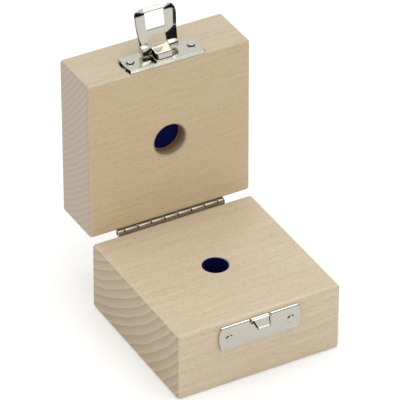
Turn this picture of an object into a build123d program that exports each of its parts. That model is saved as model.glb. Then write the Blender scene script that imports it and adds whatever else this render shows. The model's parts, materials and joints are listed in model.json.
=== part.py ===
from build123d import *
import os
from math import acos, cos, radians, sin

# A turned-out beech case for one small knob weight: a base block and a lid block, each drilled,
# joined by a continuous hinge at the back and held shut by a nickel hasp over a hooked tongue.
# Millimetres. The case stands on z = 0 with x = 0 and y = 0 through the middle of the base,
# and its front looks towards -Y. It is modelled shut, then the lid and the hasp are swung open.

# Wooden blocks
case_width = 60.0
case_depth = 59.0
base_height = 25.0
lid_height = 19.8
edge_radius = 1.2
seam_gap = 0.1
lid_open_angle = 90.7

# Bores for the weight and their flocked linings
base_bore_radius = 4.5
base_bore_depth = 15.0
lid_bore_radius = 5.8
lid_bore_depth = 4.5
bore_mouth_chamfer = 0.3
sleeve_wall = 0.45
sleeve_setback = 0.4
lining_thickness = 1.0
pad_ledge = 0.3

# Continuous hinge
hinge_length = 40.0
knuckle_count = 8
knuckle_gap = 0.2
barrel_radius = 1.0
hinge_rise = 0.2
hinge_sheet = 0.4
hinge_running_clearance = 0.05
leaf_width = 8.5
leaf_notch_clearance = 0.3
roll_slit = 0.25
roll_slit_angle = 245.0

# Brads that hold the hinge leaves
brad_count = 3
brad_spacing = 15.0
brad_head_radius = 1.1
brad_head_height = 0.35
brad_shank_radius = 0.5
brad_length = 8.0

# Plates of the latch, one on each block
fitting_x = -0.3
plate_rise = 0.9
seam_edge_round = 0.85
end_edge_round = 0.6
far_edge_round = 0.3
strike_length = 30.2
strike_width = 9.0
strike_end_bulge = 1.0
strike_gap = 1.3
latch_length = 29.0
latch_width = 9.3
latch_end_bulge = 0.45
latch_gap = 0.3

# Domed nails of the plates
strike_nail_inset = 3.75
strike_nail_setback = 4.8
latch_nail_inset = 3.25
latch_nail_setback = 5.25
nail_head_radius = 1.45
nail_head_height = 0.8
nail_shank_radius = 0.7
nail_length = 10.0

# Hooked tongue folded out of the strike plate
tongue_sheet = 0.5
tongue_root_width = 6.75
tongue_tip_width = 4.5
tongue_fold_radius = 0.5
tongue_angle = 36.0
tongue_run = 2.6
tongue_curl_radius = 0.9
tongue_curl_angle = 50.0
tongue_notch_width = 0.8
tongue_notch_depth = 1.2

# Hasp, a stamped frame with dished sides, and the pin that it turns on
pivot_height = 2.8
pivot_setback = 6.55
hasp_pin_radius = 0.7
hasp_sheet = 0.6
hasp_foot_half_width = 6.65
hasp_half_width = 7.75
hasp_widest_at = 9.5
hasp_taper = 0.05
hasp_rim_height = 1.3
hasp_bend_radius = 1.9
window_half_width = 3.55
window_near = 6.45
window_far = 12.5
window_corner_radius = 0.5
crossbar_width = 2.0
finger_lip_from = 11.7
finger_lip_radius = 1.4
finger_lip_angle = 60.0
finger_lip_run = 2.0
finger_lip_bow = 12.0
finger_lip_corner = 2.0
eye_slit = 0.3
eye_slit_angle = 33.0
hasp_open_angle = 100.6

# Spring tab rolled up from the latch plate round the hasp's pin
tab_sheet = 0.5
tab_half_width = 3.0
tab_running_clearance = 0.04
tab_root_slope = 13.0
tab_top_slope = 10.0
tab_ridge_setback = 2.85
tab_front_setback = 1.6
tab_front_height = 0.2
tab_fold_radius = 0.5
tab_side_clearance = 0.25
slot_side_clearance = 0.75
slot_near = 2.8
slot_far = 7.8

# Places that follow from the sizes
lid_floor = base_height + seam_gap
front_y = -case_depth / 2
back_y = case_depth / 2
hinge_axis_y = back_y + barrel_radius
hinge_axis_z = base_height + hinge_rise
hinge_bore_radius = barrel_radius - hinge_sheet
hinge_pin_radius = hinge_bore_radius - hinge_running_clearance
leaf_notch = barrel_radius + leaf_notch_clearance
eye_radius = hasp_pin_radius + hasp_sheet
eye_start = tab_half_width + tab_side_clearance
hasp_low = eye_radius - hasp_rim_height
hasp_outer_bend = hasp_bend_radius + hasp_sheet

hinge_axis = Axis((0, hinge_axis_y, hinge_axis_z), (-1, 0, 0))

# Fittings are drawn lying flat: x along the plate, y away from the seam, z out of the wood
strike_place = Plane((fitting_x, front_y, base_height - strike_gap), x_dir=(-1, 0, 0), z_dir=(0, -1, 0)).location
latch_place = Plane((fitting_x, front_y, lid_floor + latch_gap), x_dir=(1, 0, 0), z_dir=(0, -1, 0)).location

# The hasp is drawn round its pin: y from the pin to the finger lip, z out of the wood
hasp_place = latch_place * Pos(0, pivot_setback, pivot_height) * Rot(0, 0, 180) * Rot(hasp_open_angle, 0, 0)

# Hinge leaves are drawn round the hinge's axis, hanging down
hinge_place = Pos(0, hinge_axis_y, hinge_axis_z)


def nail(head_radius, head_height, shank_radius, length):
    # Domed head on z = 0, with the shank and its point below
    dome_radius = (head_radius ** 2 + head_height ** 2) / (2 * head_height)
    head = Pos(0, 0, head_height - dome_radius) * Sphere(dome_radius)
    head &= Pos(0, 0, head_height / 2) * Cylinder(2 * head_radius, head_height)
    point_height = 2 * shank_radius
    shank_length = length - point_height
    shank = Pos(0, 0, -shank_length / 2) * Cylinder(shank_radius, shank_length)
    point = Pos(0, 0, -shank_length - point_height / 2) * Cone(shank_radius / 5, shank_radius, point_height)
    return head + shank + point


def brads():
    # Three in a row through a leaf that hangs down from the hinge
    row = -(leaf_notch + leaf_width) / 2
    first = -(brad_count - 1) / 2
    one = nail(brad_head_radius, brad_head_height, brad_shank_radius, brad_length)
    outer_face = hinge_sheet - barrel_radius
    places = [Pos((first + i) * brad_spacing, outer_face, row) * Rot(-90, 0, 0) for i in range(brad_count)]
    return Compound(children=[place * one for place in places])


def plate_nails(length, inset, setback):
    # One near each end of a plate that lies flat
    one = nail(nail_head_radius, nail_head_height, nail_shank_radius, nail_length)
    return [Pos(side * (length / 2 - inset), setback, plate_rise) * one for side in (-1, 1)]


def knuckle_spans():
    # Half a knuckle at each end and whole ones between, with a gap at each joint
    pitch = hinge_length / knuckle_count
    end = hinge_length / 2
    spans = []
    for i in range(knuckle_count + 1):
        joint = (i - 0.5) * pitch - end
        spans.append((max(-end, joint + knuckle_gap / 2), min(end, joint + pitch - knuckle_gap / 2)))
    return spans


def knuckle_profile():
    # The sheet rises along the wood and rolls right round the pin, as far as a small slit
    stem = leaf_notch + hinge_sheet
    roll = Circle(barrel_radius) - Circle(hinge_bore_radius)
    slit = Rot(0, 0, roll_slit_angle) * Pos(barrel_radius, 0) * Rectangle(barrel_radius, roll_slit)
    return roll - slit + Pos(hinge_sheet / 2 - barrel_radius, -stem / 2) * Rectangle(hinge_sheet, stem)


def hinge_leaf(first):
    leaf = Pos(0, hinge_sheet / 2 - barrel_radius, -(leaf_width + leaf_notch) / 2)
    leaf *= Box(hinge_length, hinge_sheet, leaf_width - leaf_notch)
    for start, end in knuckle_spans()[first::2]:
        leaf += Pos(start, 0, 0) * extrude(Plane.YZ * knuckle_profile(), end - start)
    return leaf - brads()


def bored_block(height, bore_radius, bore_depth):
    # Stands on z = 0 and is bored from the top
    block = Pos(0, 0, height / 2) * Box(case_width, case_depth, height)
    block = fillet(block.edges(), edge_radius)
    block -= Pos(0, 0, height - bore_depth / 2) * Cylinder(bore_radius, bore_depth)
    mouth = block.faces().sort_by(Axis.Z)[-1].edges().filter_by(GeomType.CIRCLE)
    return chamfer(mouth, bore_mouth_chamfer)


def within_bowed_end(length, width, bulge):
    # All that lies on one side of a bowed end, whose upper edge is rounded
    radius = (width ** 2 / 4 + bulge ** 2) / (2 * bulge)
    middle = length / 2 - radius
    disc = Cylinder(radius, plate_rise)
    disc = fillet(disc.faces().sort_by(Axis.Z)[-1].edges(), end_edge_round)
    rest = Pos(-length, 0, 0) * Box(2 * length, 2 * radius, plate_rise)
    return Pos(middle, width / 2, plate_rise / 2) * (disc + rest)


def plate_blank(length, width, bulge):
    # Stamping with bowed ends and rounded edges, most of all along the seam
    section = Pos(width / 2, plate_rise / 2) * Rectangle(width, plate_rise)
    section = fillet(section.vertices().group_by(Axis.Y)[-1].sort_by(Axis.X)[0], seam_edge_round)
    section = fillet(section.vertices().group_by(Axis.Y)[-1].sort_by(Axis.X)[-1], far_edge_round)
    end = within_bowed_end(length, width, bulge)
    return extrude(Plane.YZ * section, length, both=True) & end & mirror(end, Plane.YZ)


def tongue():
    # Folded back over the seam side of the plate, then out and away from the seam to a curled tip
    level = plate_rise - tongue_sheet / 2
    fold_from = tongue_sheet / 2 + tongue_fold_radius
    root = Line((fold_from + tongue_notch_depth, level), (fold_from, level))
    fold = JernArc(root @ 1, root % 1, tongue_fold_radius, tongue_angle - 180)
    run = Line(fold @ 1, fold @ 1 + (fold % 1) * tongue_run)
    curl = JernArc(run @ 1, run % 1, tongue_curl_radius, tongue_curl_angle)
    sheet = extrude(Plane.YZ * trace([root, fold, run, curl], tongue_sheet), tongue_root_width / 2, both=True)
    tip_y = (curl @ 1).X + tongue_sheet
    root_half = tongue_root_width / 2
    tip_half = tongue_tip_width / 2
    right = [(root_half, -tongue_sheet), (root_half, tongue_notch_depth), (tip_half, tip_y)]
    left = [(-x, y) for x, y in reversed(right)]
    plan = make_face(Polyline(*right, *left, close=True))
    return sheet & extrude(plan, 2 * tongue_run + plate_rise)


def strike_plate():
    plate = plate_blank(strike_length, strike_width, strike_end_bulge)
    notch_x = (tongue_root_width + tongue_notch_width) / 2
    for side in (-1, 1):
        plate -= Pos(side * notch_x, 0, 0) * Box(tongue_notch_width, 2 * tongue_notch_depth, 4 * plate_rise)
    for one in strike_nails:
        plate -= one
    return plate + tongue()


def spring_tab():
    # Climbs from the seam side of the plate, rolls round the pin and comes back to a sloping front
    level = plate_rise - tab_sheet / 2
    radius = hasp_pin_radius + tab_running_clearance + tab_sheet / 2
    roll_turn = 180 - tab_root_slope + tab_top_slope
    roll = CenterArc((pivot_setback, pivot_height), radius, tab_root_slope - 90, roll_turn)
    climb = (Vector(roll @ 0).Y - level) / sin(radians(tab_root_slope))
    foot = roll @ 0 - (roll % 0) * climb
    top = (Vector(roll @ 1).X - tab_ridge_setback) / cos(radians(tab_top_slope))
    ridge = roll @ 1 + (roll % 1) * top
    base = Line(foot - Vector(tab_sheet, 0), foot)
    rise = Line(foot, roll @ 0)
    front = (tab_front_setback, plate_rise + tab_front_height)
    hood = FilletPolyline(roll @ 1, ridge, front, radius=tab_fold_radius)
    return extrude(Plane.YZ * trace([base, rise, roll, hood], tab_sheet), tab_half_width, both=True)


def latch_plate():
    plate = plate_blank(latch_length, latch_width, latch_end_bulge)
    slot_half = hasp_foot_half_width + slot_side_clearance
    slot_middle = (slot_near + slot_far) / 2
    plate -= Pos(0, slot_middle, 0) * Box(2 * slot_half, slot_far - slot_near, 4 * plate_rise)
    for one in latch_nails:
        plate -= one
    return plate + spring_tab()


def hasp_sides(inset, start, end):
    # Plan between the hasp's two sides
    far_half = hasp_half_width - hasp_taper * (end - hasp_widest_at)
    right = [(hasp_foot_half_width - inset, start), (hasp_foot_half_width - inset, hasp_pin_radius),
             (hasp_half_width - inset, hasp_widest_at), (far_half - inset, end)]
    left = [(-x, y) for x, y in reversed(right)]
    return make_face(Polyline(*right, *left, close=True))


def hasp_dish(inset, start, end, top, bend):
    # Solid under a flat top whose two long edges are rounded over
    depth = 2 * bend
    block = Pos(0, 0, top - depth) * extrude(hasp_sides(inset, start, end), depth)
    edges = block.faces().sort_by(Axis.Z)[-1].edges().filter_by(lambda edge: abs(edge.center().X) > 1)
    return fillet(edges, bend)


def hasp_frame():
    # The long edges bend towards the wood until they are cut off at the rim's height
    cosine = 1 - hasp_rim_height / hasp_outer_bend
    spare = hasp_outer_bend * (1 - sin(acos(cosine)))
    outside = hasp_dish(-spare, 0, finger_lip_from, eye_radius, hasp_outer_bend)
    past_lip = finger_lip_from + hasp_sheet
    inside = hasp_dish(hasp_sheet - spare, -hasp_sheet, past_lip, hasp_pin_radius, hasp_bend_radius)
    below = Box(4 * hasp_half_width, 4 * window_far, 2 * hasp_outer_bend)
    return outside - inside - Pos(0, 0, hasp_low - hasp_outer_bend) * below


def finger_lip():
    # The end of the sheet, curled away from the wood and cut to a bow
    level = hasp_pin_radius + hasp_sheet / 2
    flat = Line((window_near, level), (finger_lip_from, level))
    bend = JernArc(flat @ 1, flat % 1, finger_lip_radius, finger_lip_angle)
    run = Line(bend @ 1, bend @ 1 + (bend % 1) * finger_lip_run)
    end = Vector(run @ 1)
    length = end.X + hasp_sheet
    flat_half = hasp_half_width - hasp_outer_bend
    strip = extrude(Plane.YZ * trace([flat], hasp_sheet), flat_half, both=True)
    curl = extrude(Plane.YZ * trace([bend, run], hasp_sheet), hasp_half_width, both=True)
    curl &= extrude(hasp_sides(0, 0, length), length)
    slope = Location((0, end.X, end.Y), (finger_lip_angle, 0, 0))
    bow = Pos(0, -finger_lip_bow) * Circle(finger_lip_bow)
    keep = bow & Pos(0, -finger_lip_bow) * Rectangle(2 * hasp_half_width, 2 * finger_lip_bow)
    corners = keep.vertices().group_by(Axis.Y)[-1]
    keep = fillet(corners, finger_lip_corner)
    curl &= slope * extrude(keep, 2 * finger_lip_bow, both=True)
    return strip + curl


def hasp():
    frame = hasp_frame() + finger_lip()
    for side in (-1, 1):
        eye = Circle(eye_radius) - Rot(0, 0, eye_slit_angle) * Pos(eye_radius, 0) * Rectangle(eye_radius, eye_slit)
        start = eye_start if side > 0 else -hasp_foot_half_width
        frame += Pos(start, 0, 0) * extrude(Plane.YZ * eye, hasp_foot_half_width - eye_start)
    window_length = window_far - window_near
    window = RectangleRounded(2 * window_half_width, window_length, window_corner_radius)
    frame -= Pos(0, window_near + window_length / 2, 0) * extrude(window, window_far, both=True)
    low_end = window_near - crossbar_width
    frame -= Pos(0, low_end / 2 - hasp_sheet, 0) * Box(2 * eye_start, low_end + 2 * hasp_sheet, window_far)
    return frame - Rot(0, 90, 0) * Cylinder(hasp_pin_radius, 4 * hasp_half_width)


def hasp_pin():
    pin = Rot(0, 90, 0) * Cylinder(hasp_pin_radius, 2 * hasp_foot_half_width)
    ends = pin.faces().filter_by(Axis.X).edges()
    return fillet(ends, hasp_pin_radius / 3)


# Base
strike_nails = plate_nails(strike_length, strike_nail_inset, strike_nail_setback)
strike_plate_part = strike_place * strike_plate()
strike_nail_right, strike_nail_left = [strike_place * one for one in strike_nails]
hinge_leaf_base = hinge_place * hinge_leaf(0)
hinge_nails_base = hinge_place * brads()
base_block = bored_block(base_height, base_bore_radius, base_bore_depth)
base_block -= strike_nail_left + strike_nail_right + hinge_nails_base
pad_top = base_height - base_bore_depth + lining_thickness
base_bore_pad = Pos(0, 0, pad_top - lining_thickness / 2) * Cylinder(base_bore_radius, lining_thickness)
sleeve_height = base_height - sleeve_setback - pad_top
sleeve = Cylinder(base_bore_radius, sleeve_height) - Cylinder(base_bore_radius - sleeve_wall, sleeve_height)
base_bore_lining = Pos(0, 0, pad_top + sleeve_height / 2) * sleeve
hinge_pin = hinge_place * Rot(0, 90, 0) * Cylinder(hinge_pin_radius, hinge_length)

# Lid, shut
latch_nails = plate_nails(latch_length, latch_nail_inset, latch_nail_setback)
latch_plate_part = latch_place * latch_plate()
latch_nail_left, latch_nail_right = [latch_place * one for one in latch_nails]
hinge_leaf_lid = hinge_place * mirror(hinge_leaf(1), Plane.XY)
hinge_nails_lid = hinge_place * mirror(brads(), Plane.XY)
lid_block = Rot(0, 180, 0) * bored_block(lid_height, lid_bore_radius, lid_bore_depth)
lid_block = Pos(0, 0, lid_floor + lid_height) * lid_block
lid_block -= latch_nail_left + latch_nail_right + hinge_nails_lid
pad_height = lid_floor + lid_bore_depth + lining_thickness / 2
lid_bore_pad = Pos(0, 0, pad_height) * Cylinder(lid_bore_radius - pad_ledge, lining_thickness)
lid_block -= lid_bore_pad

fixed = {
    "base_block": base_block,
    "base_bore_lining": base_bore_lining,
    "base_bore_pad": base_bore_pad,
    "hinge_leaf_base": hinge_leaf_base,
    "hinge_nails_base": hinge_nails_base,
    "hinge_pin": hinge_pin,
    "strike_plate": strike_plate_part,
    "strike_nail_left": strike_nail_left,
    "strike_nail_right": strike_nail_right,
}

swung = {
    "lid_block": lid_block,
    "lid_bore_pad": lid_bore_pad,
    "hinge_leaf_lid": hinge_leaf_lid,
    "hinge_nails_lid": hinge_nails_lid,
    "latch_plate": latch_plate_part,
    "latch_nail_left": latch_nail_left,
    "latch_nail_right": latch_nail_right,
    "hasp": hasp_place * hasp(),
    "hasp_pin": hasp_place * hasp_pin(),
}

os.makedirs("parts", exist_ok=True)
for name, shape in fixed.items():
    export_step(shape, f"parts/{name}.step")
for name, shape in swung.items():
    export_step(shape.rotate(hinge_axis, lid_open_angle), f"parts/{name}.step")
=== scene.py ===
import json
import math

import bmesh
import bpy
from mathutils import Matrix, Vector


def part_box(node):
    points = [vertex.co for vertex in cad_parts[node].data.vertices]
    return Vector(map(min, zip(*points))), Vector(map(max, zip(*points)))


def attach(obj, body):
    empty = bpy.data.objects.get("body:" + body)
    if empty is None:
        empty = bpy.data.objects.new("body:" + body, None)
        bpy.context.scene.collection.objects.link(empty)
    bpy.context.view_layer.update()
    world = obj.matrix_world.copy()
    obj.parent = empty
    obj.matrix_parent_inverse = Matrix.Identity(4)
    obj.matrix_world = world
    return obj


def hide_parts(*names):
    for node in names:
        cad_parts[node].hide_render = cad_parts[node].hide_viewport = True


# Bored beech case for one knob weight: a base and a lid joined by a small piano hinge,
# with nickel-plated hasp fittings on the front and navy velvet in the two bores.

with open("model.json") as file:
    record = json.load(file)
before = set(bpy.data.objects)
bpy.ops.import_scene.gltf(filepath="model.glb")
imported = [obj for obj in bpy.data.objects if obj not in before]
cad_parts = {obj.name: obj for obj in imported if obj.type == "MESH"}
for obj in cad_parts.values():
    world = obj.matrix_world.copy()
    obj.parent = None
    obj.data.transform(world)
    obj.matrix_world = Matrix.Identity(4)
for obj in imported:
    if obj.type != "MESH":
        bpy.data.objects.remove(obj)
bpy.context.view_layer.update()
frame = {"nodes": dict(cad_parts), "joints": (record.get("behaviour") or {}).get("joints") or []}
nodes = frame["nodes"]
print("frame loaded:", len(nodes), "nodes")


# Small helpers

def linear(hexColour):
    # sRGB hex to the linear colour a socket wants
    parts = [int(hexColour[i:i + 2], 16) / 255 for i in (1, 3, 5)]
    return tuple(c / 12.92 if c <= 0.04045 else ((c + 0.055) / 1.055) ** 2.4 for c in parts) + (1.0,)


def addNode(tree, kind, settings=None, inputs=None):
    # one node with its settings; an input takes a value or another node's socket, and a ramp its stops
    node = tree.nodes.new("ShaderNode" + kind)
    for name, value in (settings or {}).items():
        if name == "stops":
            while len(node.color_ramp.elements) < len(value):
                node.color_ramp.elements.new(0.5)
            for element, (position, colour) in zip(node.color_ramp.elements, value):
                element.position, element.color = position, linear(colour)
        else:
            setattr(node, name, value)
    for name, value in (inputs or {}).items():
        if isinstance(value, bpy.types.NodeSocket):
            tree.links.new(value, node.inputs[name])
        else:
            node.inputs[name].default_value = value
    return node


def newMaterial(name):
    material = bpy.data.materials.new(name)
    material.use_nodes = True
    material.node_tree.nodes.clear()
    return material, material.node_tree


def finishMaterial(tree, shader):
    output = addNode(tree, "OutputMaterial")
    tree.links.new(shader, output.inputs["Surface"])


def dress(names, material):
    for name in names:
        meshData = nodes[name].data
        meshData.materials.clear()
        meshData.materials.append(material)


# Beech, planed and given a clear satin lacquer
# Long grain runs along X on top and front; the sawn ends show the year rings and read darker and pinker.
# The cells of its patterns are in millimetres, a pair of them along the grain and across it.

beech = {"roughness": 0.42, "ior": 1.5, "relief": 0.12, "reliefDepth": 0.0001,
         "fibre": (16.7, 1.111), "fibreTurn": 0.03, "fibreShare": 0.8,
         "tone": (71.4, 16.7), "toneShare": 0.3, "ringsAlong": 0.12, "longStops": (0.35, 0.85),
         "spindle": (2.38, 0.4762), "spindleTurn": 0.06, "spindleEdge": (0.16, 0.34),
         "fleck": "#A98B66", "fleckShare": 0.42,
         "pore": 0.7143, "poreShare": 0.5, "endStops": (-0.3, 0.25),
         "wander": 26.3, "wanderReach": 0.0034,
         "endFacing": (0.45, 0.95), "innerShadeFacing": (-0.5, -0.9)}
waveUnit = 0.314    # a Wave texture at a scale of 1 repeats every 0.314 metres

# the lid's bore, in metres: its middle, how far the painted shade reaches and how it deepens from the mouth
bore = {"height": 0.0557, "reach": 0.0064, "face": 0.0310, "end": 0.0400, "fade": 0.0030,
        "mouthShadeShare": 0.35, "shadeTint": "#C9AE97"}

# the last colour of each block is painted shade and warm bounce light on the face that looks to the front
# when open
blocks = {
    "base_block": {"pith": (0.0, 0.0636, 0.1016), "ringWidth": 0.0031, "seed": 3.0,
                   "longLight": "#DCCDB3", "longDark": "#CFBA9A", "endLight": "#C9B697", "endDark": "#A59176",
                   "ringShare": 0.43, "innerShadeTint": "#FFFFFF"},
    "lid_block": {"pith": (0.0, 0.1138, 0.1366), "ringWidth": 0.0019, "seed": 11.0,
                  "longLight": "#D0C1A7", "longDark": "#C6B293", "endLight": "#C6B59E", "endDark": "#A89684",
                  "ringShare": 0.28, "innerShadeTint": "#FFFAF0"},
}


def perMetre(size):
    # how many cells of this many millimetres make a metre, in whole numbers
    return round(1000 / size)


def grainScale(along, across):
    # for a Mapping node, so that a cell is this many millimetres long and wide
    return perMetre(along), perMetre(across), perMetre(across)


def makeBeech(name, block):
    material, tree = newMaterial(name)
    coords = addNode(tree, "TexCoord")
    here = coords.outputs["Object"]

    # year rings round the pith, which wander slowly along and across the board
    centred = addNode(tree, "Mapping", {"vector_type": "POINT"},
                      {"Vector": here, "Location": tuple(-p for p in block["pith"])})
    wander = addNode(tree, "TexNoise", {"noise_dimensions": "4D"},
                     {"Vector": here, "W": block["seed"], "Scale": perMetre(beech["wander"]),
                      "Detail": 2.0, "Roughness": 0.5})
    shift = addNode(tree, "VectorMath", {"operation": "MULTIPLY_ADD"},
                    {0: wander.outputs["Color"], 1: (0.0, beech["wanderReach"], beech["wanderReach"]),
                     2: centred.outputs["Vector"]})
    rings = addNode(tree, "TexWave", {"wave_type": "RINGS", "rings_direction": "X", "wave_profile": "SAW"},
                    {"Vector": shift.outputs["Vector"], "Scale": waveUnit / block["ringWidth"],
                     "Distortion": 1.1, "Detail": 2.0, "Detail Scale": 1.5, "Detail Roughness": 0.6})

    # long grain: fibres a millimetre across with finer ones among them, over broad changes of tone
    fibreSpace = addNode(tree, "Mapping", None,
                         {"Vector": here, "Rotation": (0, 0, beech["fibreTurn"]),
                          "Scale": grainScale(*beech["fibre"])})
    fibres = addNode(tree, "TexNoise", {"noise_dimensions": "4D"},
                     {"Vector": fibreSpace.outputs["Vector"], "W": block["seed"], "Scale": 1.0,
                      "Detail": 3.0, "Roughness": 0.55})
    toneSpace = addNode(tree, "Mapping", None, {"Vector": here, "Scale": grainScale(*beech["tone"])})
    tone = addNode(tree, "TexNoise", {"noise_dimensions": "4D"},
                   {"Vector": toneSpace.outputs["Vector"], "W": block["seed"] + 5, "Scale": 1.0,
                    "Detail": 2.0, "Roughness": 0.5})
    fibreTone = addNode(tree, "Math", {"operation": "MULTIPLY"},
                        {0: fibres.outputs["Fac"], 1: beech["fibreShare"]})
    withTone = addNode(tree, "Math", {"operation": "MULTIPLY_ADD"},
                       {0: tone.outputs["Fac"], 1: beech["toneShare"], 2: fibreTone.outputs["Value"]})
    withRings = addNode(tree, "Math", {"operation": "MULTIPLY_ADD"},
                        {0: rings.outputs["Fac"], 1: beech["ringsAlong"], 2: withTone.outputs["Value"]})
    darkStop, lightStop = beech["longStops"]
    longGrain = addNode(tree, "ValToRGB",
                        {"stops": [(darkStop, block["longDark"]), (lightStop, block["longLight"])]},
                        {"Fac": withRings.outputs["Value"]})

    # ray flecks: short dark spindles along the grain
    spindleSpace = addNode(tree, "Mapping", None,
                           {"Vector": here, "Rotation": (0, 0, beech["spindleTurn"]),
                            "Location": (block["seed"], 0, 0), "Scale": grainScale(*beech["spindle"])})
    spindles = addNode(tree, "TexVoronoi", {"voronoi_dimensions": "3D", "feature": "F1"},
                       {"Vector": spindleSpace.outputs["Vector"], "Scale": 1.0, "Randomness": 1.0})
    core, rim = beech["spindleEdge"]
    fleckMask = addNode(tree, "MapRange", {"interpolation_type": "SMOOTHSTEP"},
                        {"Value": spindles.outputs["Distance"], "From Min": core, "From Max": rim,
                         "To Min": beech["fleckShare"], "To Max": 0.0})
    longColour = addNode(tree, "Mix", {"data_type": "RGBA"},
                         {"Factor": fleckMask.outputs["Result"], "A": longGrain.outputs["Color"],
                          "B": linear(beech["fleck"])})

    # end grain: rings, with fine pores
    pores = addNode(tree, "TexNoise", {"noise_dimensions": "3D"},
                    {"Vector": here, "Scale": perMetre(beech["pore"]), "Detail": 2.0, "Roughness": 0.7})
    ringTone = addNode(tree, "Math", {"operation": "MULTIPLY"},
                       {0: rings.outputs["Fac"], 1: block["ringShare"]})
    endTone = addNode(tree, "Math", {"operation": "MULTIPLY_ADD"},
                      {0: pores.outputs["Fac"], 1: beech["poreShare"], 2: ringTone.outputs["Value"]})
    middle = (beech["poreShare"] + block["ringShare"]) / 2
    below, above = beech["endStops"]
    endGrain = addNode(tree, "ValToRGB",
                       {"stops": [(middle + below, block["endDark"]), (middle + above, block["endLight"])]},
                       {"Fac": endTone.outputs["Value"]})

    # the sawn ends are the surfaces that face along the grain
    facing = addNode(tree, "SeparateXYZ", None, {"Vector": coords.outputs["Normal"]})
    lengthwise = addNode(tree, "Math", {"operation": "ABSOLUTE"}, {0: facing.outputs["X"]})
    endFrom, endTo = beech["endFacing"]
    endShare = addNode(tree, "MapRange", {"interpolation_type": "SMOOTHSTEP"},
                       {"Value": lengthwise.outputs["Value"], "From Min": endFrom, "From Max": endTo})
    # painted shade: the face that looks towards the front when the case is open is made a little darker and
    # warmer, for the shade and warm bounce light it gets from the base
    innerShadeFrom, innerShadeTo = beech["innerShadeFacing"]
    inner = addNode(tree, "MapRange", None,
                    {"Value": facing.outputs["Y"], "From Min": innerShadeFrom, "From Max": innerShadeTo})
    innerShaded = addNode(tree, "Mix", {"data_type": "RGBA", "blend_type": "MULTIPLY"},
                     {"Factor": inner.outputs["Result"], "A": longColour.outputs["Result"],
                      "B": linear(block["innerShadeTint"])})
    faces = addNode(tree, "Mix", {"data_type": "RGBA"},
                    {"Factor": endShare.outputs["Result"], "A": innerShaded.outputs["Result"],
                     "B": endGrain.outputs["Color"]})

    # painted shade on the wall of the lid's bore: darker and warmer, and deepening from the mouth inward
    spot = addNode(tree, "SeparateXYZ", None, {"Vector": here})
    fromMiddle = addNode(tree, "VectorMath", {"operation": "SUBTRACT"}, {0: here, 1: (0, 0, bore["height"])})
    fromAxis = addNode(tree, "VectorMath", {"operation": "MULTIPLY"},
                       {0: fromMiddle.outputs["Vector"], 1: (1, 0, 1)})
    reach = addNode(tree, "VectorMath", {"operation": "LENGTH"}, {0: fromAxis.outputs["Vector"]})
    near = addNode(tree, "Math", {"operation": "LESS_THAN"}, {0: reach.outputs["Value"], 1: bore["reach"]})
    deep = addNode(tree, "MapRange", None,
                   {"Value": spot.outputs["Y"], "From Min": bore["face"],
                    "From Max": bore["face"] + bore["fade"], "To Min": bore["mouthShadeShare"]})
    shallow = addNode(tree, "Math", {"operation": "LESS_THAN"}, {0: spot.outputs["Y"], 1: bore["end"]})
    inWall = addNode(tree, "Math", {"operation": "MULTIPLY"},
                     {0: near.outputs["Value"], 1: deep.outputs["Result"]})
    boreShadeMask = addNode(tree, "Math", {"operation": "MULTIPLY"},
                     {0: inWall.outputs["Value"], 1: shallow.outputs["Value"]})
    colour = addNode(tree, "Mix", {"data_type": "RGBA", "blend_type": "MULTIPLY"},
                     {"Factor": boreShadeMask.outputs["Value"], "A": faces.outputs["Result"],
                      "B": linear(bore["shadeTint"])})

    bump = addNode(tree, "Bump", None,
                   {"Strength": beech["relief"], "Distance": beech["reliefDepth"],
                    "Height": fibres.outputs["Fac"]})
    shader = addNode(tree, "BsdfPrincipled", None,
                     {"Base Color": colour.outputs["Result"], "Roughness": beech["roughness"],
                      "IOR": beech["ior"], "Normal": bump.outputs["Normal"]})
    finishMaterial(tree, shader.outputs["BSDF"])
    return material


for blockName, block in blocks.items():
    dress([blockName], makeBeech("lacquered beech " + blockName, block))
print("beech done")


# Navy velvet flock in the bores: dark, with a lighter bloom where the pile is seen edge on
# A tuft of the pile is a third of a millimetre wide.

velvet = {"colour": "#030328", "light": "#0E0E66", "stops": (0.35, 0.75), "tuft": 0.35, "roughness": 0.95,
          "sheen": 0.08, "sheenRoughness": 0.4, "sheenTint": "#3A3FD0", "gloss": 0.15,
          "relief": 0.6, "reliefDepth": 0.0002}


def makeVelvet():
    material, tree = newMaterial("navy velvet flock")
    coords = addNode(tree, "TexCoord")
    pile = addNode(tree, "TexNoise", {"noise_dimensions": "3D"},
                   {"Vector": coords.outputs["Object"], "Scale": 1000 / velvet["tuft"], "Detail": 2.0,
                    "Roughness": 0.6})
    darkStop, lightStop = velvet["stops"]
    colour = addNode(tree, "ValToRGB",
                     {"stops": [(darkStop, velvet["colour"]), (lightStop, velvet["light"])]},
                     {"Fac": pile.outputs["Fac"]})
    bump = addNode(tree, "Bump", None,
                   {"Strength": velvet["relief"], "Distance": velvet["reliefDepth"],
                    "Height": pile.outputs["Fac"]})
    shader = addNode(tree, "BsdfPrincipled", None,
                     {"Base Color": colour.outputs["Color"], "Roughness": velvet["roughness"],
                      "Sheen Weight": velvet["sheen"], "Sheen Roughness": velvet["sheenRoughness"],
                      "Sheen Tint": linear(velvet["sheenTint"]), "Specular IOR Level": velvet["gloss"],
                      "Normal": bump.outputs["Normal"]})
    finishMaterial(tree, shader.outputs["BSDF"])
    return material


dress(["base_bore_lining", "base_bore_pad", "lid_bore_pad"], makeVelvet())
print("velvet done")


# Nickel-plated steel: stamped fittings tumbled bright, and a duller hinge
# Tumbling leaves soft waves in the plating, whose width is in millimetres.

nickel = {"colour": "#D1CEC2", "roughness": 0.13, "wave": 4.0, "relief": 0.25, "reliefDepth": 0.0003}
hingeNickel = {"colour": "#C0B7A6", "roughness": 0.4, "wave": 2.0, "relief": 0.15, "reliefDepth": 0.0003}
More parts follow.
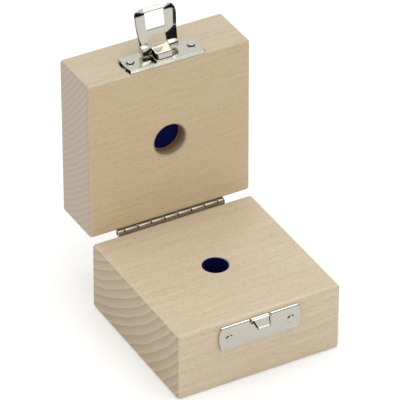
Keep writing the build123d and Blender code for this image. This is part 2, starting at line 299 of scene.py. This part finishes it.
# the hinge pin's near black is painted shade, so the gaps between the knuckles where it shows read dark
gapShadePinSteel = {"colour": "#2E2924", "roughness": 0.45, "wave": 2.0, "relief": 0.15, "reliefDepth": 0.0003}


def makeMetal(name, finish):
    material, tree = newMaterial(name)
    coords = addNode(tree, "TexCoord")
    waves = addNode(tree, "TexNoise", {"noise_dimensions": "3D"},
                    {"Vector": coords.outputs["Object"], "Scale": 1000 / finish["wave"], "Detail": 2.0,
                     "Roughness": 0.5})
    bump = addNode(tree, "Bump", None,
                   {"Strength": finish["relief"], "Distance": finish["reliefDepth"],
                    "Height": waves.outputs["Fac"]})
    shader = addNode(tree, "BsdfPrincipled", None,
                     {"Base Color": linear(finish["colour"]), "Metallic": 1.0,
                      "Roughness": finish["roughness"], "Normal": bump.outputs["Normal"]})
    finishMaterial(tree, shader.outputs["BSDF"])
    return material


brightNickel = makeMetal("tumbled bright nickel plate", nickel)
dullNickel = makeMetal("satin nickel plate", hingeNickel)
dress(["hasp_pin"], brightNickel)
dress(["hinge_leaf_base", "hinge_leaf_lid", "hinge_nails_base", "hinge_nails_lid"], dullNickel)
dress(["hinge_pin"], makeMetal("steel wire darkened for knuckle gap shade", gapShadePinSteel))
print("nickel done")


# Stamped fittings of the latch, in millimetres on their own flat places

joints = {joint["name"]: joint for joint in frame["joints"]}
haspPin = Vector(joints["hasp_hinge"]["pos_m"])
lidOpen = -joints["lid_hinge"]["range_deg"][0]
haspOpen = -joints["hasp_hinge"]["range_deg"][0]


def slope(degrees):
    # direction square to X, turned from straight up towards the back
    return Vector((0, math.sin(math.radians(degrees)), math.cos(math.radians(degrees))))


def flatPlace(origin, sideways, onward):
    # x sideways, y onward, z out of the flat
    outward = sideways.cross(onward)
    return Matrix.Translation(origin) @ Matrix((sideways, onward, outward)).transposed().to_4x4()


def stations(first, *stretches):
    # positions from the first to the end of each stretch, given as (end, steps)
    places = [first]
    for end, steps in stretches:
        start = places[-1]
        places += [start + (end - start) * (i + 1) / steps for i in range(steps)]
    return places


def sheetGrid(across, along, hole):
    # a flat net of faces on the given stations, left out where the hole says
    bm = bmesh.new()
    bmesh.ops.create_grid(bm, x_segments=len(across) - 1, y_segments=len(along) - 1, size=0.5)
    for v in bm.verts:
        v.co = (across[round((v.co.x + 0.5) * (len(across) - 1))],
                along[round((v.co.y + 0.5) * (len(along) - 1))], 0)
    gone = [f for f in bm.faces if hole(f.calc_center_median())]
    bmesh.ops.delete(bm, geom=gone, context="FACES")
    return bm


def thicken(bm, back):
    # the net becomes the front of a closed body, and back() says where each point's far side lies
    bm.normal_update()
    front = [(v, v.normal.copy()) for v in bm.verts]
    bmesh.ops.extrude_face_region(bm, geom=bm.faces[:], use_keep_orig=True)
    for i, (v, normal) in enumerate(front):
        v.co = back(i, v.co, normal)
    bmesh.ops.recalc_face_normals(bm, faces=bm.faces[:])


edges = {"bevelOver": 60.0, "creaseOver": 40.0, "round": 0.05}    # two angles in degrees, millimetres


def finishFitting(bm, name, body, node, place, edgeRound=edges["round"], metal=brightNickel):
    # breaks the sharp edges, then puts the piece at its place in metres
    sharp = [e for e in bm.edges
             if len(e.link_faces) == 2 and e.calc_face_angle() > math.radians(edges["bevelOver"])]
    bmesh.ops.bevel(bm, geom=sharp, offset=edgeRound, segments=2, profile=0.5, affect="EDGES",
                    clamp_overlap=True, material=-1)
    for f in bm.faces:
        f.smooth = True
    for e in bm.edges:
        if len(e.link_faces) == 2 and e.calc_face_angle() > math.radians(edges["creaseOver"]):
            e.smooth = False
    bmesh.ops.transform(bm, matrix=place @ Matrix.Scale(0.001, 4), verts=bm.verts[:])
    mesh = bpy.data.meshes.new(name)
    bm.to_mesh(mesh)
    bm.free()
    mesh.materials.append(metal)
    piece = bpy.data.objects.new(name, mesh)
    bpy.context.scene.collection.objects.link(piece)
    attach(piece, body)
    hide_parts(node)


def ramp01(value):
    # smooth step from 0 to 1
    value = min(max(value, 0.0), 1.0)
    return value * value * (3 - 2 * value)


def rounding(distance, radius):
    # how far a rounded edge has dropped at this distance from the edge
    reach = max(radius - distance, 0.0)
    return radius - math.sqrt(max(radius * radius - reach * reach, 0.0))


# Domed nails: a low crown with a full round edge, on a thin shank
# Each plate has its own height of head and slope of rim.

nail = {"radius": 1.52, "crown": 0.1, "edge": 0.28, "foot": 0.08, "shank": 0.7, "length": 10.0, "point": 1.4,
        "steps": 6, "edgeRound": 0.03, "latch": (0.78, 62.0), "strike": (0.45, 44.0)}


def makeNail(name, body, place, height, rimSlope):
    bm = bmesh.new()
    lean, steps = math.radians(rimSlope), nail["steps"]
    shoulder = height - nail["crown"] - nail["edge"] * (1 - math.cos(lean))
    flat = nail["radius"] - (shoulder - nail["foot"]) / math.tan(lean) - nail["edge"] * math.sin(lean)
    points = [(0.0, height)]
    for i in range(1, steps + 1):
        points.append((flat * i / steps, height - nail["crown"] * (i / steps) ** 2))
    for i in range(1, steps + 1):
        angle = lean * i / steps
        points.append((flat + nail["edge"] * math.sin(angle),
                       height - nail["crown"] - nail["edge"] * (1 - math.cos(angle))))
    points += [(nail["radius"], nail["foot"]), (nail["radius"], 0.0), (nail["shank"], 0.0),
               (nail["shank"], nail["point"] - nail["length"]), (0.0, -nail["length"])]
    chain = [bm.verts.new((r, 0, z)) for r, z in points]
    profile = [bm.edges.new(pair) for pair in zip(chain, chain[1:])]
    bmesh.ops.spin(bm, geom=chain + profile, cent=(0, 0, 0), axis=(0, 0, 1), steps=48, use_merge=True,
                   angle=math.radians(360))
    bmesh.ops.remove_doubles(bm, verts=bm.verts[:], dist=0.0001)
    bmesh.ops.recalc_face_normals(bm, faces=bm.faces[:])
    finishFitting(bm, "bright_" + name, body, name, place, nail["edgeRound"])


# Latch plate with the spring tab that is folded up out of it round the hasp's pin

latch = {"length": 29.0, "width": 9.3, "rise": 0.9, "thinnest": 0.04, "endBulge": 0.8, "endFlank": 0.65,
         "seamFlank": 0.7, "seamSlope": 0.95, "farRound": 0.3, "pinSetback": 6.55, "pinHeight": 2.8,
         "slotHalf": 3.2, "slotNear": 2.8, "slotFar": 7.8, "nailInset": 3.25, "nailSetback": 5.25,
         "ringRadius": 1.78, "ringWidth": 0.24, "ringDepth": 0.06}
strike = {"length": 30.2, "width": 9.0, "rise": 0.9, "thinnest": 0.04, "gap": 1.3, "endBulge": 1.0,
          "endRound": 0.2, "seamRound": 0.6, "farRound": 0.3, "nailInset": 3.75, "nailSetback": 4.8,
          "ringRadius": 1.8, "ringWidth": 0.24, "ringDepth": 0.05, "notchFrom": 3.4, "notchTo": 4.2,
          "notchDepth": 1.2, "slitTo": 3.85, "slitDepth": 3.6}
tongue = {"sheet": 0.5, "rootHalf": 3.375, "tipHalf": 2.25, "foldRadius": 0.5, "root": 1.2, "angle": 42.0,
          "run": 2.4, "curlRadius": 0.8, "curlAngle": 50.0, "flatShare": 0.78, "sideDrop": 0.4,
          "dropEarly": 4, "dropOver": 6}
tab = {"half": 3.1, "sheet": 0.5, "radius": 0.99, "rootSlope": 13.0, "topSlope": 10.0, "ridgeSetback": 2.75,
       "foldRadius": 0.3, "frontLean": 14.0, "frontEnd": 1.1, "flatHalf": 2.3, "sideDrop": 0.45,
       "dropOver": 6}


def ringDrop(x, y, plate):
    # shallow ring pressed into the plate round each nail
    drop = 0.0
    for side in (-1, 1):
        away = math.hypot(x - side * (plate["length"] / 2 - plate["nailInset"]), y - plate["nailSetback"])
        share = abs(away - plate["ringRadius"]) / plate["ringWidth"]
        drop = max(drop, plate["ringDepth"] * max(1 - share * share, 0.0))
    return drop


def walk(point, heading, *parts):
    # points and headings along straight runs and arcs, each given as (length, turn in degrees),
    # with a point at least every 8 degrees and every 0.35 mm
    y, z = point
    track = [(y, z, heading)]
    for length, turn in parts:
        steps = max(3, round(abs(turn) / 8), round(length / 0.35))
        for i in range(steps):
            angle = math.radians(heading + turn * (i + 0.5) / steps)
            y += math.cos(angle) * length / steps
            z += math.sin(angle) * length / steps
            track.append((y, z, heading + turn * (i + 1) / steps))
        heading += turn
    return track


def makeLatchPlate(place):
    slot, width = latch["slotHalf"], latch["width"]
    half = latch["length"] / 2
    crease = half - latch["endFlank"]
    bm = sheetGrid(stations(-half, (-crease, 4), (-slot, 72), (slot, 44), (crease, 72), (half, 4)),
                   stations(0, (latch["seamFlank"], 4), (latch["slotNear"], 14), (latch["slotFar"], 32),
                            (width, 10)),
                   lambda c: abs(c.x) < slot and latch["slotNear"] < c.y < latch["slotFar"])
    for v in bm.verts:
        x, y = v.co.x, v.co.y
        flank = latch["rise"] * max(1 - (half - abs(x)) / latch["endFlank"], 0.0)
        x *= 1 - latch["endBulge"] * (2 * y / width - 1) ** 2 / half
        drop = max(flank, latch["seamSlope"] * (latch["seamFlank"] - y),
                   rounding(width - y, latch["farRound"]))
        v.co = (x, y, max(latch["rise"] - drop - ringDrop(x, y, latch), latch["thinnest"]))
    thicken(bm, lambda i, co, normal: Vector((co.x, co.y, 0.0)))

    # the tab climbs to the pin, rolls round it and comes back as a hood with a steep front
    climb = math.radians(tab["rootSlope"])
    rollFrom = Vector((latch["pinSetback"] + tab["radius"] * math.sin(climb),
                       latch["pinHeight"] - tab["radius"] * math.cos(climb)))
    level = latch["rise"] - tab["sheet"] / 2
    climbLength = (rollFrom.y - level) / math.sin(climb)
    rootY = rollFrom.x - climbLength * math.cos(climb)
    rollTurn = 180 - tab["rootSlope"] + tab["topSlope"]
    topStart = latch["pinSetback"] - tab["radius"] * math.sin(math.radians(tab["topSlope"]))
    topLength = (topStart - tab["ridgeSetback"]) / math.cos(math.radians(tab["topSlope"]))
    foldTurn = 90 - tab["topSlope"] - tab["frontLean"]
    track = walk((rootY, level), tab["rootSlope"], (climbLength, 0),
                 (math.radians(rollTurn) * tab["radius"], rollTurn), (topLength, 0),
                 (math.radians(foldTurn) * tab["foldRadius"], foldTurn))
    toGo = (track[-1][1] - tab["frontEnd"]) / math.cos(math.radians(tab["frontLean"]))
    track += walk(track[-1][:2], track[-1][2], (toGo, 0))[1:]
    rolled = len(walk((0, 0), 0, (climbLength, 0), (math.radians(rollTurn) * tab["radius"], rollTurn)))
    sheet = sheetGrid(stations(-tab["half"], (tab["half"], 30)), list(range(len(track))), lambda c: False)
    for v in sheet.verts:
        x, i = v.co.x, round(v.co.y)
        y, z, heading = track[i]
        normal = (math.sin(math.radians(heading)), -math.cos(math.radians(heading)))
        past = max(abs(x) - tab["flatHalf"], 0.0) / (tab["half"] - tab["flatHalf"])
        drop = tab["sideDrop"] * past ** 2 * ramp01((i - rolled) / tab["dropOver"])
        outY, outZ = y + normal[0] * tab["sheet"] / 2, z + normal[1] * tab["sheet"] / 2
        v.co = (x, outY - normal[0] * drop, outZ - normal[1] * drop)
    sheet.normal_update()
    top = [f for f in sheet.faces if f.calc_center_median().z > latch["pinHeight"]]
    outward = 1 if sum(f.normal.z for f in top) > 0 else -1
    thicken(sheet, lambda i, co, normal: co - normal * outward * tab["sheet"])
    tabMesh = bpy.data.meshes.new("spring tab")
    sheet.to_mesh(tabMesh)
    sheet.free()
    bm.from_mesh(tabMesh)
    bpy.data.meshes.remove(tabMesh)
    finishFitting(bm, "pressed_latch_plate", "lid", "latch_plate", place)


def makeStrikePlate(place):
    notchFrom, notchTo, slitTo = strike["notchFrom"], strike["notchTo"], strike["slitTo"]
    half, width = strike["length"] / 2, strike["width"]
    bm = sheetGrid(stations(-half, (-notchTo, 74), (-slitTo, 3), (-notchFrom, 3), (notchFrom, 46),
                            (slitTo, 3), (notchTo, 3), (half, 74)),
                   stations(0, (strike["notchDepth"], 8), (strike["slitDepth"], 15), (width, 34)),
                   lambda c: notchFrom < abs(c.x) < notchTo and c.y < strike["notchDepth"]
                   or -slitTo < c.x < -notchFrom and c.y < strike["slitDepth"])
    for v in bm.verts:
        x, y = v.co.x, v.co.y
        endHere = half - strike["endBulge"] * (2 * y / width - 1) ** 2
        x *= endHere / half
        drop = max(rounding(endHere - abs(x), strike["endRound"]), rounding(y, strike["seamRound"]),
                   rounding(width - y, strike["farRound"]))
        v.co = (x, y, max(strike["rise"] - drop - ringDrop(x, y, strike), strike["thinnest"]))
    thicken(bm, lambda i, co, normal: Vector((co.x, co.y, 0.0)))

    # the tongue folds back over the seam edge, stands off the plate and curls out at its tip
    level = strike["rise"] - tongue["sheet"] / 2
    foldTurn = tongue["angle"] - 180
    foldY = tongue["foldRadius"] + tongue["sheet"] / 2
    track = walk((foldY + tongue["root"], level), 180.0, (tongue["root"], 0),
                 (math.radians(-foldTurn) * tongue["foldRadius"], foldTurn), (tongue["run"], 0),
                 (math.radians(tongue["curlAngle"]) * tongue["curlRadius"], tongue["curlAngle"]))
    folded = len(walk((0, 0), 0, (tongue["root"], 0),
                      (math.radians(-foldTurn) * tongue["foldRadius"], foldTurn))) - 1
    sheet = sheetGrid(stations(-1, (1, 24)), list(range(len(track))), lambda c: False)
    for v in sheet.verts:
        i = round(v.co.y)
        y, z, heading = track[i]
        share = max(i - folded, 0) / (len(track) - 1 - folded)
        x = v.co.x * (tongue["rootHalf"] + (tongue["tipHalf"] - tongue["rootHalf"]) * share)
        past = max(abs(v.co.x) - tongue["flatShare"], 0.0) / (1 - tongue["flatShare"])
        late = (i - folded + tongue["dropEarly"]) / tongue["dropOver"]
        drop = tongue["sideDrop"] * past ** 2 * ramp01(late)
        out = tongue["sheet"] / 2 - drop
        v.co = (x, y - math.sin(math.radians(heading)) * out, z + math.cos(math.radians(heading)) * out)
    thicken(sheet, lambda i, co, normal: co - normal * tongue["sheet"])
    tongueMesh = bpy.data.meshes.new("tongue")
    sheet.to_mesh(tongueMesh)
    sheet.free()
    bm.from_mesh(tongueMesh)
    bpy.data.meshes.remove(tongueMesh)
    finishFitting(bm, "pressed_strike_plate", "case_base", "strike_plate", place)


# Hasp: a stamped frame with dished sides that run out into a finger lip
# It starts as a flat net, whose points are then moved to the pressed shape.

hasp = {"sheet": 0.6, "edgeSheet": 0.12, "thinFrom": 6.6, "thinOver": 1.1, "innerFace": 0.7,
        "netFrom": 0.3, "netFlat": 6.2, "netEdge": 7.75,
        "footHalf": 6.4, "flare": 0.142, "flareFade": 0.0034, "widestAt": 10.0, "taper": 0.045,
        "bendReach": 1.28, "bendAngle": 52.0, "bendFade": (11.0, 13.2),
        "windowHalf": 3.55, "lowHalf": 3.25, "barLow": 4.45, "windowLow": 6.45, "windowHigh": 12.5,
        "knee": 10.5, "lipFrom": 11.73, "lipEarly": 0.5, "lipRadius": 1.9, "cornerRadius": 5.2,
        "cornerOver": 2.8, "cornerMost": 1.15, "lipAngle": 60.0,
        "lipEnd": 14.5, "lipBase": 12.0, "lipHalf": 7.75, "lipPower": 2.3,
        "foldSlope": 14.0, "foldSoft": 0.35, "foldTo": 7.0, "leftFold": 1.9,
        "rightFold": (3.85, 4.1), "rightFoldFaces": (0.4745, -0.88),
        "eyeFrom": 3.25, "eyeTo": 6.6, "eyeRadius": 1.45, "eyeBore": 0.72,
        "leftEye": [(-1.2, -1.0), (-0.5, -1.5), (1.1, -1.45), (1.5, -1.0), (1.02, 1.35), (0.7, 1.6),
                    (-1.2, 1.9)]}


def haspHalf(q):
    # half the width at the sides' edge: it widens to two thirds of the way, then narrows a little
    near = min(q, hasp["widestAt"])
    return (hasp["footHalf"] + hasp["flare"] * near - hasp["flareFade"] * near ** 2
            - hasp["taper"] * (q - near))


def haspPoint(p, q):
    # from the flat net to the pressed shape: x sideways, y away from the pin, z towards the wood
    side, across = (1 if p > 0 else -1), abs(p)
    window, netFlat, netEdge, knee = hasp["windowHalf"], hasp["netFlat"], hasp["netEdge"], hasp["knee"]

    # the free end is bowed
    bow = max(1 - min(across / hasp["lipHalf"], 1.0) ** hasp["lipPower"], 0.0) ** (1 / hasp["lipPower"])
    lipEnd = hasp["lipBase"] + (hasp["lipEnd"] - hasp["lipBase"]) * bow
    if q > knee:
        q = knee + (lipEnd - knee) * (q - knee) / (hasp["lipEnd"] - knee)

    # flat from the window to the bend, then dished towards the wood
    flat = haspHalf(q) - hasp["bendReach"]
    barRise = ramp01((q - hasp["barLow"]) / (hasp["windowLow"] - hasp["barLow"]))
    inside = hasp["lowHalf"] + (window - hasp["lowHalf"]) * barRise
    rise = 0.0
    if across <= window:
        x = across * inside / window
    elif across <= netFlat:
        x = inside + (flat - inside) * (across - window) / (netFlat - window)
    else:
        share = min((across - netFlat) / (netEdge - netFlat), 1.0)
        fadeFrom, fadeTo = hasp["bendFade"]
        fade = 1 - ramp01((q - fadeFrom) / (fadeTo - fadeFrom))
        full = math.radians(max(hasp["bendAngle"] * fade, 1.0))
        x = flat + hasp["bendReach"] * math.sin(share * full) / math.sin(full)
        rise = hasp["bendReach"] * (1 - math.cos(share * full)) / math.sin(full)

    # the finger lip curls away from the wood, gently at the corners and sharply between
    corner = min(max((x - window) / hasp["cornerOver"], 0.0), hasp["cornerMost"])
    radius = hasp["lipRadius"] + (hasp["cornerRadius"] - hasp["lipRadius"]) * corner
    start = hasp["lipFrom"] - hasp["lipEarly"] * corner
    full = math.radians(hasp["lipAngle"])
    y, z = q, -hasp["innerFace"]
    if q > start:
        turned = min((q - start) / radius, full)
        rest = q - start - radius * turned
        y = start + radius * math.sin(turned) + rest * math.cos(turned)
        z -= radius * (1 - math.cos(turned)) + rest * math.sin(turned)

    # towards the eyes the arms lean to the wood, the right one from a slanting fold
    if side > 0:
        foldX, foldY = hasp["rightFold"]
        facesX, facesY = hasp["rightFoldFaces"]
        below = (x - foldX) * facesX + (y - foldY) * facesY
    else:
        below = hasp["leftFold"] - y
    lean = (below + math.hypot(below, hasp["foldSoft"])) / 2 * math.tan(math.radians(hasp["foldSlope"]))
    if y > hasp["foldTo"]:
        lean = 0.0
    return Vector((side * x, y, z + rise + lean))


def makeHasp(place):
    window, netFlat, netEdge = hasp["windowHalf"], hasp["netFlat"], hasp["netEdge"]
    across = stations(-netEdge, (-netFlat, 10), (-window, 9), (window, 20), (netFlat, 9), (netEdge, 10))
    along = stations(hasp["netFrom"], (hasp["barLow"], 14), (hasp["windowLow"], 6), (hasp["knee"], 12),
                     (hasp["windowHigh"], 10), (hasp["lipEnd"], 20))
    bm = sheetGrid(across, along, lambda c: abs(c.x) < window
                   and (c.y < hasp["barLow"] or hasp["windowLow"] < c.y < hasp["windowHigh"]))
    thickness = []
    for v in bm.verts:
        rim = ramp01((abs(v.co.x) - hasp["thinFrom"]) / hasp["thinOver"])
        thickness.append(hasp["sheet"] + (hasp["edgeSheet"] - hasp["sheet"]) * rim)
        v.co = haspPoint(v.co.x, v.co.y)
    thicken(bm, lambda i, co, normal: co - normal * thickness[i])

    # right eye: rolled round the pin
    ring = [(hasp["eyeFrom"], hasp["eyeBore"]), (hasp["eyeFrom"], hasp["eyeRadius"]),
            (hasp["eyeTo"], hasp["eyeRadius"]), (hasp["eyeTo"], hasp["eyeBore"])]
    corners = [bm.verts.new((x, r, 0)) for x, r in ring]
    profile = [bm.edges.new((corners[i], corners[(i + 1) % 4])) for i in range(4)]
    bmesh.ops.spin(bm, geom=corners + profile, cent=(0, 0, 0), axis=(1, 0, 0), steps=40, use_merge=True,
                   angle=math.radians(360))

    # left eye: its front is flattened, so its side is an outline of (z, y)
    loop = [bm.verts.new((-hasp["eyeTo"], y, z)) for z, y in hasp["leftEye"]]
    start = bm.faces.new(loop)
    grown = bmesh.ops.extrude_face_region(bm, geom=[start], use_keep_orig=True)
    moved = [g for g in grown["geom"] if isinstance(g, bmesh.types.BMVert)]
    bmesh.ops.translate(bm, verts=moved, vec=(hasp["eyeTo"] - hasp["eyeFrom"], 0, 0))
    bmesh.ops.recalc_face_normals(bm, faces=bm.faces[:])
    finishFitting(bm, "pressed_hasp", "hasp_frame", "hasp", place)


# Hinge leaves: rolled knuckles, and between them the leaf is cut close round the other's barrel

hinge = {"length": 40.0, "knuckles": 8, "gap": 0.36, "barrel": 1.0, "sheet": 0.4, "leafEnd": 8.5,
         "cut": 1.05, "rollEnd": -128.0, "edgeRound": 0.04}


def arc(radius, start, end, steps):
    angles = [math.radians(start + (end - start) * i / steps) for i in range(steps + 1)]
    return [(radius * math.cos(a), radius * math.sin(a)) for a in angles]


def makeHingeLeaf(node, body, place, first):
    # first is 0 for the leaf whose knuckles start and end the barrel, and 1 for the other
    outer, inner = hinge["barrel"], hinge["barrel"] - hinge["sheet"]
    foot = [(-inner, -hinge["leafEnd"]), (-outer, -hinge["leafEnd"])]
    rolled = foot + arc(outer, 180, hinge["rollEnd"], 36) + arc(inner, hinge["rollEnd"], 180, 36)
    cutEnds = [180 + math.degrees(math.acos(reach / hinge["cut"])) for reach in (outer, inner)]
    cut = foot + arc(hinge["cut"], *cutEnds, 6)
    half, pitch = hinge["length"] / 2, hinge["length"] / hinge["knuckles"]
    bm = bmesh.new()
    for i in range(hinge["knuckles"] + 1):
        own = i % 2 == first
        spare = hinge["gap"] / 2 if own else -hinge["gap"] / 2
        start = max(-half, -half + (i - 0.5) * pitch + spare)
        end = min(half, -half + (i + 0.5) * pitch - spare)
        side = bm.faces.new([bm.verts.new((start, y, z)) for y, z in (rolled if own else cut)])
        grown = bmesh.ops.extrude_face_region(bm, geom=[side], use_keep_orig=True)
        moved = [g for g in grown["geom"] if isinstance(g, bmesh.types.BMVert)]
        bmesh.ops.translate(bm, verts=moved, vec=(end - start, 0, 0))
    bmesh.ops.recalc_face_normals(bm, faces=bm.faces[:])
    finishFitting(bm, "rolled_" + node, body, node, place, hinge["edgeRound"], dullNickel)


hingePin = Vector(joints["lid_hinge"]["pos_m"])
sideways = Vector((1, 0, 0))
makeHingeLeaf("hinge_leaf_base", "case_base", flatPlace(hingePin, sideways, slope(90)), 0)
makeHingeLeaf("hinge_leaf_lid", "lid", flatPlace(hingePin, -sideways, -slope(lidOpen - 90)), 1)
latchAway = slope(lidOpen)
latchOut = sideways.cross(latchAway)
latchOrigin = haspPin - 0.001 * (latchAway * latch["pinSetback"] + latchOut * latch["pinHeight"])
latchPlace = flatPlace(latchOrigin, sideways, latchAway)
makeLatchPlate(latchPlace)
makeHasp(flatPlace(haspPin, sideways, slope(lidOpen + haspOpen - 180)))
strikeOrigin = Vector((haspPin.x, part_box("base_block")[0][1],
                       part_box("base_block")[1][2] - 0.001 * strike["gap"]))
strikePlace = flatPlace(strikeOrigin, -sideways, slope(180))
makeStrikePlate(strikePlace)
for plate, place, kind, sides in ((latch, latchPlace, "latch", ("left", "right")),
                                  (strike, strikePlace, "strike", ("right", "left"))):
    for step, side in zip((-1, 1), sides):
        spot = (step * (plate["length"] / 2 - plate["nailInset"]), plate["nailSetback"], plate["rise"])
        makeNail(kind + "_nail_" + side, "lid" if kind == "latch" else "case_base",
                 place @ Matrix.Translation(0.001 * Vector(spot)), *nail[kind])
print("latch fittings done")


# Floor, light and camera

studio = {"floorSize": 6.0, "floor": "#F6F6F6", "floorGlow": 0.22, "worldLevel": 0.9, "topSize": 0.8,
          "topPlace": (0.15, -0.1, 1.1), "topPower": 1.7}

floorMesh = bpy.data.meshes.new("floor")
bm = bmesh.new()
bmesh.ops.create_grid(bm, x_segments=1, y_segments=1, size=studio["floorSize"] / 2)
bm.to_mesh(floorMesh)
bm.free()
floor = bpy.data.objects.new("floor", floorMesh)
bpy.context.scene.collection.objects.link(floor)
floorMaterial, floorTree = newMaterial("white paper floor")
rays = addNode(floorTree, "LightPath")
paper = addNode(floorTree, "BsdfDiffuse", None, {"Color": linear(studio["floor"])})
glowLevel = addNode(floorTree, "Math", {"operation": "MULTIPLY"},
                    {0: rays.outputs["Is Camera Ray"], 1: studio["floorGlow"]})
glow = addNode(floorTree, "Emission", None, {"Color": (1, 1, 1, 1), "Strength": glowLevel.outputs["Value"]})
lifted = addNode(floorTree, "AddShader")
floorTree.links.new(paper.outputs["BSDF"], lifted.inputs[0])
floorTree.links.new(glow.outputs["Emission"], lifted.inputs[1])
finishMaterial(floorTree, lifted.outputs["Shader"])
floorMesh.materials.append(floorMaterial)

# full white behind the object, a little less on it
world = bpy.data.worlds.new("white studio")
bpy.context.scene.world = world
world.use_nodes = True
world.node_tree.nodes.clear()
worldRays = addNode(world.node_tree, "LightPath")
straight = addNode(world.node_tree, "Math", {"operation": "MAXIMUM"},
                   {0: worldRays.outputs["Is Camera Ray"], 1: worldRays.outputs["Is Transmission Ray"]})
level = addNode(world.node_tree, "MapRange", None,
                {"Value": straight.outputs["Value"], "To Min": studio["worldLevel"], "To Max": 1.0})
sky = addNode(world.node_tree, "Background", None,
              {"Color": (1, 1, 1, 1), "Strength": level.outputs["Result"]})
worldOutput = addNode(world.node_tree, "OutputWorld")
world.node_tree.links.new(sky.outputs["Background"], worldOutput.inputs["Surface"])

lampData = bpy.data.lights.new("overhead softbox", "AREA")
lampData.shape = "SQUARE"
lampData.size = studio["topSize"]
lampData.energy = studio["topPower"]
lamp = bpy.data.objects.new("overhead softbox", lampData)
lamp.location = studio["topPlace"]
bpy.context.scene.collection.objects.link(lamp)

# the viewing angle, solved from the two blocks' edges
shot = {"azimuth": -29.01, "elevation": 34.94, "roll": 0.232, "distance": 1.39773,
        "target": (0.0, 0.0, 0.025), "aside": (-0.005016, 0.021005), "lens": 386.0, "sensor": 36.0,
        "clip": (0.05, 50.0)}
azimuth, elevation = math.radians(shot["azimuth"]), math.radians(shot["elevation"])
back = Vector((math.sin(azimuth) * math.cos(elevation), -math.cos(azimuth) * math.cos(elevation),
               math.sin(elevation)))
right = Vector((0, 0, 1)).cross(back).normalized()
up = back.cross(right)
turn = Matrix.Rotation(math.radians(shot["roll"]), 3, back)
right, up = turn @ right, turn @ up
cameraData = bpy.data.cameras.new("camera")
cameraData.lens = shot["lens"]
cameraData.sensor_width = shot["sensor"]
cameraData.clip_start, cameraData.clip_end = shot["clip"]
camera = bpy.data.objects.new("camera", cameraData)
view = Matrix((right, up, back)).transposed().to_4x4()
view.translation = (Vector(shot["target"]) + back * shot["distance"]
                    + right * shot["aside"][0] + up * shot["aside"][1])
camera.matrix_world = view
bpy.context.scene.collection.objects.link(camera)
bpy.context.scene.camera = camera

# the unlit side of the room past the paper, which only the metal sees
# A wall is two bearings from the front and a height in degrees, the ground two bearings and two distances.
darkSide = {"radius": 2.0, "low": 2.0, "felt": "#202020", "aboveFloor": 0.001, "steps": 16,
            "walls": [(-165.0, -130.0, 18.0), (-130.0, 5.0, 44.0), (5.0, 95.0, 33.0)],
            "ground": [(-85.0, -45.0, 0.19, 1.2), (-45.0, -20.0, 0.26, 1.2), (-20.0, -3.0, 0.31, 1.2)]}
ceiling = {"radius": 1.5, "forward": 0.3, "height": 2.3, "level": 1.6}
darkMesh = bpy.data.meshes.new("dark side of the room")
bm = bmesh.new()


def sweepDark(near, far, start, end):
    # two points spun round the upright axis, from one bearing to another
    angle = math.radians(start)
    out = Vector((math.sin(angle), -math.cos(angle), 0))
    ends = [bm.verts.new(out * reach + Vector((0, 0, height))) for reach, height in (near, far)]
    line = bm.edges.new(ends)
    bmesh.ops.spin(bm, geom=[line, *ends], cent=(0, 0, 0), axis=(0, 0, 1), steps=darkSide["steps"],
                   use_merge=False, angle=math.radians(end - start))


lowest = darkSide["radius"] * math.tan(math.radians(darkSide["low"]))
for start, end, top in darkSide["walls"]:
    highest = darkSide["radius"] * math.tan(math.radians(top))
    sweepDark((darkSide["radius"], lowest), (darkSide["radius"], highest), start, end)
for start, end, near, far in darkSide["ground"]:
    sweepDark((near, darkSide["aboveFloor"]), (far, darkSide["aboveFloor"]), start, end)
bm.to_mesh(darkMesh)
bm.free()
darkRoom = bpy.data.objects.new("dark side of the room", darkMesh)
darkRoom.visible_camera = darkRoom.visible_diffuse = darkRoom.visible_shadow = False
bpy.context.scene.collection.objects.link(darkRoom)
darkMaterial, darkTree = newMaterial("black felt")
felt = addNode(darkTree, "BsdfDiffuse", None, {"Color": linear(darkSide["felt"])})
finishMaterial(darkTree, felt.outputs["BSDF"])
darkMesh.materials.append(darkMaterial)

# a lit ceiling over it for the same reflections
ceilingMesh = bpy.data.meshes.new("lit ceiling")
bm = bmesh.new()
bmesh.ops.create_circle(bm, cap_ends=True, segments=48, radius=ceiling["radius"])
bmesh.ops.translate(bm, verts=bm.verts[:], vec=(0, -ceiling["forward"], ceiling["height"]))
bm.to_mesh(ceilingMesh)
bm.free()
litCeiling = bpy.data.objects.new("lit ceiling", ceilingMesh)
litCeiling.visible_camera = litCeiling.visible_diffuse = litCeiling.visible_shadow = False
bpy.context.scene.collection.objects.link(litCeiling)
ceilingMaterial, ceilingTree = newMaterial("lit ceiling")
lit = addNode(ceilingTree, "Emission", None, {"Color": (1, 1, 1, 1), "Strength": ceiling["level"]})
finishMaterial(ceilingTree, lit.outputs["Emission"])
ceilingMesh.materials.append(ceilingMaterial)

bpy.context.scene.view_settings.view_transform = "Standard"
print("studio and camera done")
